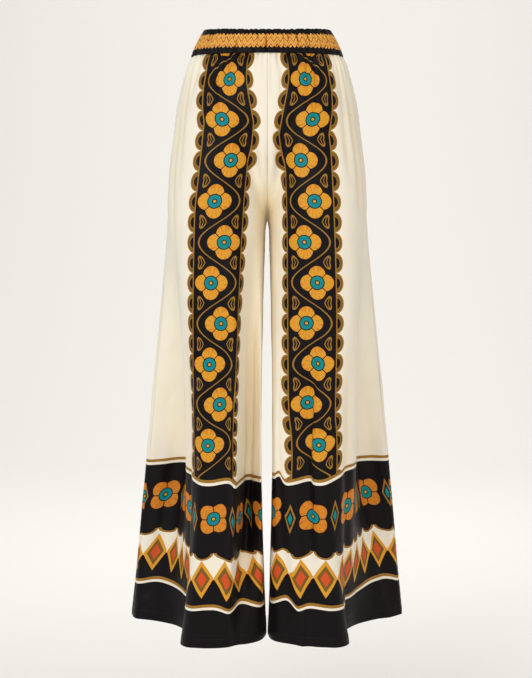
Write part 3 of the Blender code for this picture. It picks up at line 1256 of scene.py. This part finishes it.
        # The turned hem is thicker, and its line of stitches sinks in.
        above = (heights - HEM)[:, None]
        fold_end = self.hem_fold + self.hem_step_width
        lift += self.hem_step * (1 - smoothstep(self.hem_fold, fold_end, above))
        pinch = 0.6 + 0.4 * np.sin(arcs * 2 * math.pi / self.hem_pinch_pitch)
        stitched = np.exp(-(((above - self.hem_fold) / self.hem_pinch_width) ** 2))
        lift -= self.hem_pinch * pinch * stitched
        # The top edge turns in behind the waistband.
        behind = smoothstep(WAIST_SEAM - 0.001, WAIST_SEAM + 0.0025, heights)[:, None]
        return lift * (1 - behind) - self.tuck_depth * behind

    def flat_lengths(self, turns: np.ndarray, flat: np.ndarray, arcs: np.ndarray) -> np.ndarray:
        """Where each point was in the flat cloth.

        Args:
            turns: The turn of each column.
            flat: The sections' points.
            arcs: The length along each row at each column.

        Returns:
            Rows by columns of metres from the panel's grain line and from the hem.
        """
        levels, offsets = zip(*self.grain)
        forward = self.cut is Cut.FRONT
        facing = (turns > 2.6) & (turns < 6.2) if forward else (turns > 10.2) & (turns < 13.8)
        lengths = np.zeros(flat.shape)
        for i, height in enumerate(self.heights):
            x = np.interp(-height, [-level for level in levels], offsets)
            xs, at = flat[i, facing, 0], arcs[i, facing]
            order = np.argsort(xs)
            middle = np.interp(x, xs[order], at[order])
            full = 1 + (self.fullness - 1) * smoothstep(GATHER_END, WAIST_SEAM, height)
            lengths[i, :, 0] = (arcs[i] - middle) * full
            lengths[i, :, 1] = height - HEM - self.form.slip(turns, height)
        return lengths

    def build(self, face: bpy.types.Material, reverse: bpy.types.Material) -> bpy.types.Object:
        """Makes the panel's mesh, with its thickness and both sides of the cloth.

        Args:
            face: The cloth's printed side.
            reverse: Its paler inside.

        Returns:
            The panel.
        """
        self.lay_out()
        mirrored = self.form.side is Side.RIGHT
        grids = [self.places, self.cloth, self.shelter]
        if mirrored:
            grids = [grid[:, ::-1] for grid in grids]
        places, cloth, shelter = grids
        panel = grid_object(self.name, places, {"cloth": cloth, "shelter": shelter}, closed=False)
        panel.data.materials.append(face)
        panel.data.materials.append(reverse)
        wall = panel.modifiers.new("cloth_thickness", "SOLIDIFY")
        wall.thickness = self.thickness
        wall.offset = -1.0
        wall.material_offset = 1
        return apply_modifiers(panel)

    def declare(self, panel: bpy.types.Object, hangs_from: Sequence[str]) -> None:
        """Says what the panel rides on, replaces and was cut from."""
        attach(panel, BODY)
        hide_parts(self.node)
        u, v = self.cloth[..., 0], self.cloth[..., 1]
        size = (float(u.max() - u.min()), float(v.max() - v.min()))
        area = flat_area(self.cloth)
        log.info("%s: cut %.3f by %.3f m, %.3f square metres", panel.name, *size, area)

    def hem_line(self) -> np.ndarray:
        """The line on the cloth that the hem's stitches follow, just proud of it."""
        row = int(np.argmin(np.abs(self.heights - HEM - self.hem_fold)))
        line = self.places[row].copy()
        away = line[:, :2] - np.array([self.form.side.value * 0.10, 0.03])
        line[:, :2] += 0.0002 * away / np.linalg.norm(away, axis=1, keepdims=True)
        return line


def apply_modifiers(piece: bpy.types.Object) -> bpy.types.Object:
    """Turns an object's modifiers into plain mesh, and returns the object."""
    seen = piece.evaluated_get(bpy.context.evaluated_depsgraph_get())
    mesh = bpy.data.meshes.new_from_object(seen)
    mesh.name = piece.name
    piece.modifiers.clear()
    piece.data = mesh
    return piece


@dataclass
class WaistbandHalf:
    """Half of the elastic waistband: a ruched channel of silk round a flat elastic."""

    figure: Figure
    cut: Cut
    seed: int
    columns: int = 340
    thickness: float = 0.0024
    bulge: float = 0.0015
    top_dip: float = 0.0070
    seam_dip: float = 0.0020
    pitch: float = 0.0074
    ruche: float = 0.0030
    channel_inset: float = 0.0045
    channel_depth: float = 0.0005
    fullness: float = 1.35
    inner_ruche: float = 0.4
    crimp: float = 0.5
    channel_width: float = 0.0011
    end_dent: float = 0.0006
    seam_gap: float = 0.0002
    cloth: np.ndarray = field(init=False)
    places: np.ndarray = field(init=False)
    shelter: np.ndarray = field(init=False)

    @property
    def name(self) -> str:
        """The piece's name, such as silk_waistband_front."""
        return f"silk_waistband_{self.cut.name.lower()}"

    @property
    def node(self) -> str:
        """The solid that this half stands for."""
        return f"waistband_{self.cut.name.lower()}"

    def profile(self) -> tuple[np.ndarray, np.ndarray]:
        """The channel's closed outline: up the outside, over the top and down the inside.

        Returns:
            For each row, the share of the height, which may pass 0 and 1 where the edges
            round over, and the distance inwards from the outer face.
        """
        radius = self.thickness / 2
        high = BAND_TOP - WAIST_SEAM
        over = np.linspace(0, math.pi, 9)[1:-1]
        outside = np.linspace(radius / high, 1 - radius / high, 22)
        top = 1 - radius / high + np.sin(over) * radius / high
        bottom = radius / high - np.sin(over) * radius / high
        up = np.concatenate([outside, top, outside[::-3], bottom])
        turn_in = radius * (1 - np.cos(over))
        inside = np.full(len(outside[::-3]), self.thickness)
        inwards = np.concatenate([np.zeros(len(outside)), turn_in, inside, turn_in[::-1]])
        return up, inwards

    def ruching(self, arcs: np.ndarray, up: np.ndarray) -> np.ndarray:
        """The uneven ridges that the elastic draws the channel into.

        Args:
            arcs: The length along the band at each column.
            up: The share of the height at each row.

        Returns:
            How far the face stands out, rows by columns.
        """
        chance = np.random.default_rng(self.seed)
        lift = np.zeros((len(up), len(arcs)))
        count = int(arcs[-1] / self.pitch)
        share = up[:, None]
        for i in range(count):
            middle = (i + 0.5 + chance.uniform(-0.3, 0.3)) * arcs[-1] / count
            width = self.pitch * chance.uniform(0.20, 0.34)
            depth = self.ruche * chance.uniform(0.5, 1.25)
            reach = chance.uniform(0.45, 1.3)
            from_top = chance.random() < 0.5
            distance = 1 - share if from_top else share
            fade = np.clip(1.15 - distance / reach, 0, 1)
            lean = chance.uniform(-0.0012, 0.0012) * (share - 0.5)
            lift -= depth * fade * np.exp(-(((arcs[None, :] - middle - lean) / width) ** 2))
        ends = np.minimum(arcs, arcs[-1] - arcs)[None, :]
        dent = self.end_dent * np.exp(-((ends / 0.0018) ** 2))
        return lift * smoothstep(0.0, 0.006, ends) - dent

    def lay_out(self) -> None:
        """Works out where each point of the channel is."""
        start = -0.5 if self.cut is Cut.FRONT else 0.5
        turns = start + np.linspace(0, 1, self.columns + 1)
        up, inwards = self.profile()
        middle = np.array([self.outline(turn, 0.0) for turn in turns])
        steps = np.linalg.norm(np.diff(middle, axis=0), axis=1)
        arcs = np.concatenate([[0.0], np.cumsum(steps)])
        ruched = self.ruching(arcs, np.clip(up, 0, 1))
        high = BAND_TOP - WAIST_SEAM
        edge = np.minimum(up, 1 - up) * high
        groove = np.exp(-(((edge - self.channel_inset) / self.channel_width) ** 2))
        channel = self.channel_depth * groove
        facing = np.maximum(0.0, np.cos(math.pi * turns)) ** 2
        low = WAIST_SEAM - self.seam_dip * facing
        top = BAND_TOP - self.top_dip * facing
        self.places = np.zeros((len(up), len(turns), 3))
        for i, share in enumerate(up):
            level = WAIST_SEAM + high * min(max(share, 0.0), 1.0)
            ring = np.array([self.outline(turn, level) for turn in turns])
            outward = ring / np.linalg.norm(ring, axis=1, keepdims=True)
            swell = self.bulge * 4 * max(share, 0.0) * max(1 - share, 0.0)
            face = inwards[i] < self.thickness / 2
            drawn = ruched[i] - channel[i] if face else self.inner_ruche * ruched[i]
            lift = swell - inwards[i] + drawn
            # The ruches also crimp the top edge.
            crimp = self.crimp * ruched[i] * smoothstep(0.85, 1.0, share)
            self.places[i, :, :2] = ring + outward * np.broadcast_to(lift, len(turns))[:, None]
            self.places[i, :, 2] = low + (top - low) * share + crimp
        # Each half stops short of the side seams.
        toward = -1 if self.cut is Cut.FRONT else 1
        ends = toward * self.places[:, (0, -1), 1]
        self.places[:, (0, -1), 1] = toward * np.maximum(ends, self.seam_gap / 2)
        lengths = np.zeros((len(up), len(turns), 2))
        lengths[..., 0] = (arcs - arcs[-1] / 2) * self.fullness
        lengths[..., 1] = np.clip(up, 0, 1)[:, None] * high
        self.cloth = lengths
        # The bottoms of the ruches see little light, so painted shade darkens them.
        self.shelter = np.zeros(lengths.shape)
        self.shelter[..., 0] = smoothstep(0.25, 1.0, -ruched / self.ruche)

    def outline(self, turn: float, height: float) -> np.ndarray:
        """The band's outline all round the body; a turn of 0 is the front and 1 the back."""
        folded = abs((turn + 1) % 2 - 1)
        across, depth = self.figure.point(folded, height)
        return np.array([math.copysign(across, math.sin(math.pi * turn)), depth])

    def build(self, face: bpy.types.Material) -> bpy.types.Object:
        """Makes this half's mesh, closed at both side seams.

        Args:
            face: The waistband's printed silk.

        Returns:
            The half.
        """
        self.lay_out()
        maps = {"cloth": self.cloth, "shelter": self.shelter}
        half = grid_object(self.name, self.places, maps, closed=True)
        shell = bmesh.new()
        shell.from_mesh(half.data)
        open_edges = [edge for edge in shell.edges if edge.is_boundary]
        bmesh.ops.holes_fill(shell, edges=open_edges)
        bmesh.ops.triangulate(shell, faces=[f for f in shell.faces if len(f.verts) > 4])
        bmesh.ops.recalc_face_normals(shell, faces=shell.faces)
        shell.to_mesh(half.data)
        shell.free()
        half.data.materials.append(face)
        return half

    def declare(self, half: bpy.types.Object) -> None:
        """Says what this half rides on, replaces and was cut from."""
        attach(half, BODY)
        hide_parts(self.node)
        width = float(np.ptp(self.cloth[..., 0]))
        length = BAND_TOP - WAIST_SEAM
        log.info("%s: cut %.3f by %.3f m a layer", half.name, width, length)

    def stitch_line(self, share: float) -> np.ndarray:
        """A line along the band's outer face at a share of its height, just proud of it."""
        up, inwards = self.profile()
        outer = np.where(inwards == 0)[0]
        row = outer[int(np.argmin(np.abs(up[outer] - share)))]
        line = self.places[row, 4:-4].copy()
        away = line[:, :2] / np.linalg.norm(line[:, :2], axis=1, keepdims=True)
        line[:, :2] += 0.0002 * away
        return line


@dataclass
class Stitching:
    """Lines of straight lockstitch, laid along given lines by Geometry Nodes."""

    name: str
    lines: tuple[np.ndarray, ...]
    pitch: float = 0.0030
    length: float = 0.0022
    thickness: float = 0.0004

    def build(self, thread: bpy.types.Material) -> bpy.types.Object:
        """Makes the stitches as one plain mesh.

        Args:
            thread: The thread's material.

        Returns:
            The stitches.
        """
        mesh = bpy.data.meshes.new(self.name)
        points = np.concatenate(self.lines)
        starts = np.cumsum([0] + [len(line) for line in self.lines])
        edges = [
            (i, i + 1)
            for first, last in zip(starts[:-1], starts[1:])
            for i in range(int(first), int(last) - 1)
        ]
        mesh.from_pydata(points.tolist(), edges, [])
        made = bpy.data.objects.new(self.name, mesh)
        bpy.context.scene.collection.objects.link(made)
        modifier = made.modifiers.new("stitches", "NODES")
        modifier.node_group = self.tree()
        values = {
            "Pitch": self.pitch,
            "Stitch Length": self.length,
            "Thread Thickness": self.thickness,
            "Thread": thread,
        }
        for item in modifier.node_group.interface.items_tree:
            if item.name in values:
                modifier[item.identifier] = values[item.name]
        apply_modifiers(made)
        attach(made, BODY)
        log.info("%s: %d faces", made.name, len(made.data.polygons))
        return made

    def tree(self) -> bpy.types.NodeTree:
        """The node tree that lays one stitch at each pitch along a line of edges."""
        tree = bpy.data.node_groups.new("lockstitch", "GeometryNodeTree")
        sockets = (
            ("Geometry", "INPUT", "NodeSocketGeometry"),
            ("Pitch", "INPUT", "NodeSocketFloat"),
            ("Stitch Length", "INPUT", "NodeSocketFloat"),
            ("Thread Thickness", "INPUT", "NodeSocketFloat"),
            ("Thread", "INPUT", "NodeSocketMaterial"),
            ("Geometry", "OUTPUT", "NodeSocketGeometry"),
        )
        for name, way, kind in sockets:
            tree.interface.new_socket(name, in_out=way, socket_type=kind)
        given = add_node(tree, "NodeGroupInput").outputs
        line = add_node(tree, "GeometryNodeMeshToCurve", {"Mesh": given["Geometry"]})
        spacing = {"Curve": line, "Length": given["Pitch"]}
        spaced = add_node(tree, "GeometryNodeResampleCurve", spacing, mode="LENGTH")
        ball = {"Segments": 6, "Rings": 4, "Radius": 0.5}
        thick = given["Thread Thickness"]
        size = {"X": given["Stitch Length"], "Y": thick, "Z": thick}
        heading = {"Vector": add_node(tree, "GeometryNodeInputTangent")}
        stitch = {
            "Points": spaced,
            "Instance": add_node(tree, "GeometryNodeMeshUVSphere", ball),
            "Rotation": add_node(tree, "FunctionNodeAlignRotationToVector", heading, axis="X"),
            "Scale": add_node(tree, "ShaderNodeCombineXYZ", size),
        }
        laid = add_node(tree, "GeometryNodeInstanceOnPoints", stitch)
        real = add_node(tree, "GeometryNodeRealizeInstances", {"Geometry": laid})
        dressed = {"Geometry": real, "Material": given["Thread"]}
        sewn = add_node(tree, "GeometryNodeSetMaterial", dressed)
        add_node(tree, "NodeGroupOutput", {"Geometry": sewn})
        return tree


# ---------------------------------------------------------------------------------------
# The garment
# ---------------------------------------------------------------------------------------

FRONT_LEFT_CREASES = (
    Crease((5.7, -0.030), (6.3, -0.340), 0.010, -0.0062, 0.15),
    Crease((5.1, -0.030), (5.5, -0.260), 0.009, -0.0042, -0.10),
    Crease((6.7, -0.030), (6.9, -0.420), 0.012, -0.0044, 0.10),
    Crease((2.2, -0.060), (1.2, -0.300), 0.010, -0.0036, -0.10),
    Crease((0.8, -0.150), (0.9, -0.330), 0.008, -0.0018, 0.05),
    Crease((6.2, -0.300), (6.3, -0.900), 0.011, -0.0032, 0.10),
    Crease((6.9, -0.360), (7.0, -1.063), 0.012, 0.0030, -0.12, True),
    Crease((7.4, -0.520), (7.5, -1.063), 0.009, -0.0022, 0.08, True),
    Crease((3.6, -0.420), (3.8, -1.063), 0.010, -0.0022, 0.10, True),
    Crease((4.6, -0.560), (4.6, -1.063), 0.012, 0.0020, -0.08, True),
    Crease((1.3, -0.400), (1.4, -0.980), 0.008, -0.0020, 0.10),
    Crease((5.75, -0.480), (5.80, -1.063), 0.015, -0.0070, 0.0, True),
    Crease((5.20, -0.560), (5.20, -1.063), 0.012, 0.0022, 0.0, True),
    Crease((6.90, -0.990), (7.50, -1.030), 0.006, -0.0014),
    Crease((0.0, -0.205), (0.0, -0.322), 0.019, 0.0060),
)
FRONT_RIGHT_CREASES = (
    Crease((5.6, -0.035), (5.9, -0.280), 0.009, -0.0040, 0.12),
    Crease((6.5, -0.035), (6.7, -0.480), 0.011, -0.0044, -0.10),
    Crease((2.0, -0.070), (1.1, -0.310), 0.010, -0.0036, -0.08),
    Crease((1.0, -0.160), (0.8, -0.340), 0.008, -0.0016, 0.06),
    Crease((6.5, -0.330), (6.6, -1.000), 0.010, 0.0030, 0.10),
    Crease((6.9, -0.300), (7.1, -0.860), 0.010, -0.0028, -0.10),
    Crease((7.5, -0.620), (7.5, -1.063), 0.010, 0.0022, 0.06, True),
    Crease((1.5, -0.330), (1.5, -1.000), 0.009, 0.0026, 0.12),
    Crease((2.3, -0.420), (2.2, -1.010), 0.007, -0.0030, -0.06),
    Crease((4.3, -0.520), (4.4, -1.063), 0.011, -0.0020, 0.08, True),
    Crease((7.10, -0.420), (7.45, -0.455), 0.006, -0.0020),
    Crease((7.05, -0.475), (7.50, -0.520), 0.006, 0.0020),
    Crease((7.20, -0.520), (7.55, -0.575), 0.007, -0.0022),
    Crease((7.00, -0.560), (7.40, -0.610), 0.006, 0.0018),
    Crease((7.25, -0.610), (7.60, -0.650), 0.006, -0.0018),
    Crease((7.05, -0.655), (7.35, -0.700), 0.007, 0.0016),
    Crease((5.70, -0.430), (5.75, -1.063), 0.015, -0.0070, 0.0, True),
    Crease((5.15, -0.520), (5.15, -1.063), 0.012, 0.0022, 0.0, True),
    Crease((6.80, -0.985), (7.60, -1.020), 0.006, -0.0018),
    Crease((7.00, -1.015), (7.70, -1.036), 0.006, 0.0014),
    Crease((2.05, -0.900), (2.05, -1.063), 0.010, -0.0020, 0.0, True),
    Crease((0.0, -0.205), (0.0, -0.322), 0.019, 0.0060),
)
BACK_LEFT_CREASES = (
    Crease((9.4, -0.060), (9.6, -0.380), 0.011, -0.0028, 0.10),
    Crease((11.2, -0.050), (11.0, -0.300), 0.012, -0.0024, -0.12),
    Crease((13.6, -0.080), (14.8, -0.290), 0.011, -0.0030, 0.10),
    Crease((12.4, -0.290), (12.2, -0.720), 0.013, -0.0024, 0.12),
    Crease((9.0, -0.420), (8.8, -1.063), 0.010, 0.0024, 0.08, True),
    Crease((11.6, -0.560), (11.6, -1.063), 0.010, -0.0022, -0.08, True),
    Crease((14.6, -0.400), (14.6, -1.000), 0.010, 0.0024, 0.10),
    Crease((16.0, -0.205), (16.0, -0.322), 0.019, 0.0060),
)
BACK_RIGHT_CREASES = (
    Crease((9.2, -0.050), (9.5, -0.330), 0.011, -0.0026, -0.10),
    Crease((10.8, -0.060), (10.8, -0.360), 0.012, -0.0024, 0.12),
    Crease((13.8, -0.090), (14.9, -0.300), 0.010, -0.0028, -0.08),
    Crease((12.6, -0.330), (12.4, -0.800), 0.012, -0.0026, 0.10),
    Crease((9.1, -0.480), (9.0, -1.063), 0.011, 0.0026, -0.08, True),
    Crease((11.4, -0.500), (11.5, -1.063), 0.011, -0.0022, 0.08, True),
    Crease((14.8, -0.380), (14.7, -0.960), 0.009, 0.0022, 0.06),
    Crease((16.0, -0.205), (16.0, -0.322), 0.019, 0.0060),
)
# Where each panel's grain line runs, as (height, x outwards).
FRONT_LEFT_GRAIN = (
    (-0.03, 0.047),
    (-0.19, 0.066),
    (-0.29, 0.071),
    (-0.447, 0.077),
    (-0.72, 0.081),
)
FRONT_RIGHT_GRAIN = (
    (-0.03, 0.057),
    (-0.19, 0.070),
    (-0.29, 0.081),
    (-0.447, 0.088),
    (-0.72, 0.094),
)
BACK_GRAIN = ((-0.03, 0.052), (-0.29, 0.075), (-0.72, 0.098))


@dataclass
class Pants:
    """The whole garment."""

    figure: Figure = field(default_factory=Figure)

    def build(self) -> None:
        """Builds every piece in the order that a maker would, and reports each."""
        face = LegPrint(SilkTwill("printed silk twill")).material()
        reverse = LegPrint(SilkTwill("printed silk twill, reverse", fade=0.35)).material()
        # A darker, browner painted shade for the bottoms of the waistband's ruches.
        band_silk = SilkTwill("printed silk twill, waistband", painted_fold_shade="#a87850")
        band_face = BandPrint(band_silk).material()
        thread = THREAD.material()
        legs = {
            Side.LEFT: LegForm(Side.LEFT, LEFT_FOLDS, self.figure),
            Side.RIGHT: LegForm(Side.RIGHT, RIGHT_FOLDS, self.figure),
        }
        halves = (
            WaistbandHalf(self.figure, Cut.FRONT, seed=11),
            WaistbandHalf(self.figure, Cut.BACK, seed=12),
        )
        for half in halves:
            half.declare(half.build(band_face))
        panels = (
            (Side.LEFT, Cut.FRONT, FRONT_LEFT_GRAIN, FRONT_LEFT_CREASES, 21),
            (Side.LEFT, Cut.BACK, BACK_GRAIN, BACK_LEFT_CREASES, 22),
            (Side.RIGHT, Cut.FRONT, FRONT_RIGHT_GRAIN, FRONT_RIGHT_CREASES, 23),
            (Side.RIGHT, Cut.BACK, BACK_GRAIN, BACK_RIGHT_CREASES, 24),
        )
        hems: dict[Side, list[np.ndarray]] = {Side.LEFT: [], Side.RIGHT: []}
        for side, cut, grain, creases, seed in panels:
            panel = LegPanel(legs[side], cut, grain, creases, Gathers(19, seed))
            made = panel.build(face, reverse)
            panel.declare(made, [f"silk_waistband_{cut.name.lower()}"])
            hems[side].append(panel.hem_line())
        for side, lines in hems.items():
            Stitching(f"{side.name.lower()}_hem_stitches", tuple(lines)).build(thread)
        seams = tuple(half.stitch_line(0.07) for half in halves)
        Stitching("waistband_stitches", seams).build(thread)


@dataclass(frozen=True)
class Lamp:
    """One square light panel: its place, what it faces, its side, its watts and its colour."""

    name: str
    place: tuple[float, float, float]
    target: tuple[float, float, float]
    size: float
    power: float
    colour: str

    def hang(self) -> None:
        """Hangs the panel so that it faces its target, unseen by the camera."""
        panel = bpy.data.lights.new(self.name, "AREA")
        panel.shape = "SQUARE"
        panel.size = self.size
        panel.energy = self.power
        panel.color = linear(self.colour)[:3]
        holder = bpy.data.objects.new(self.name, panel)
        holder.location = self.place
        holder.visible_camera = False
        x, y, z = np.array(self.place) - np.array(self.target)
        holder.rotation_euler = (math.atan2(math.hypot(x, y), z), 0.0, math.atan2(x, -y))
        bpy.context.scene.collection.objects.link(holder)


LAMPS = (
    Lamp("key", (-1.8, -2.95, 1.0), (0.0, 0.0, -0.25), 1.6, 32.5, "#fffdfb"),
    Lamp("front", (0.1, -3.2, -0.1), (0.0, 0.0, -0.40), 1.2, 16.0, "#fffaf2"),
    Lamp("fill", (2.8, -2.2, -0.2), (0.3, 0.8, -0.80), 2.4, 8.0, "#ffdfb0"),
    Lamp("backdrop", (0.2, 1.6, 1.5), (0.2, 5.4, -1.7), 3.2, 58.0, "#ffffff"),
)


@dataclass
class Studio:
    """A pale paper sweep, soft light from large panels, and the camera."""

    floor_height: float = -1.36
    wall_distance: float = 5.4
    sweep_radius: float = 2.4
    half_width: float = 6.0
    near_edge: float = -5.5
    wall_top: float = 4.0
    ambient_colour: str = "#fcfbf8"
    ambient_strength: float = 0.57
    lens_mm: float = 71.15
    camera_place: tuple[float, float, float] = (-0.0022, -2.4, -0.2862)
    camera_down: float = math.radians(5.6)

    def build(self) -> None:
        """Builds the sweep, the lights and the camera."""
        self.sweep(PAPER.material())
        for lamp in LAMPS:
            lamp.hang()
        world = bpy.data.worlds.new("studio")
        world.use_nodes = True
        ambient = world.node_tree.nodes["Background"].inputs
        ambient["Color"].default_value = linear(self.ambient_colour)
        ambient["Strength"].default_value = self.ambient_strength
        bpy.context.scene.world = world
        bpy.context.scene.view_settings.view_transform = "Standard"
        self.camera()

    def sweep(self, paper: bpy.types.Material) -> None:
        """Makes the floor and the wall as one curved sheet of paper."""
        radius = self.sweep_radius
        angles = np.linspace(0, math.pi / 2, 24)
        bend = [
            (
                self.wall_distance - radius + radius * math.sin(a),
                self.floor_height + radius - radius * math.cos(a),
            )
            for a in angles
        ]
        profile = [(self.near_edge, self.floor_height), *bend, (self.wall_distance, self.wall_top)]
        places = np.array(
            [[(x, y, z) for y, z in profile] for x in (self.half_width, -self.half_width)]
        )
        sheet = grid_object("studio_sweep", places, {}, closed=False)
        sheet.data.materials.append(paper)

    def camera(self) -> None:
        """Sets up the camera in front of the garment, tilted slightly down."""
        lens = bpy.data.cameras.new("camera")
        lens.lens = self.lens_mm
        holder = bpy.data.objects.new("camera", lens)
        holder.location = self.camera_place
        holder.rotation_euler = (math.pi / 2 - self.camera_down, 0.0, 0.0)
        bpy.context.scene.collection.objects.link(holder)
        bpy.context.scene.camera = holder


def main() -> None:
    """Builds the garment and the studio."""
    logging.basicConfig(level=logging.INFO, format="%(name)s: %(message)s")
    Studio().build()
    Pants().build()
    bpy.context.view_layer.update()


if __name__ == "__main__":
    main()
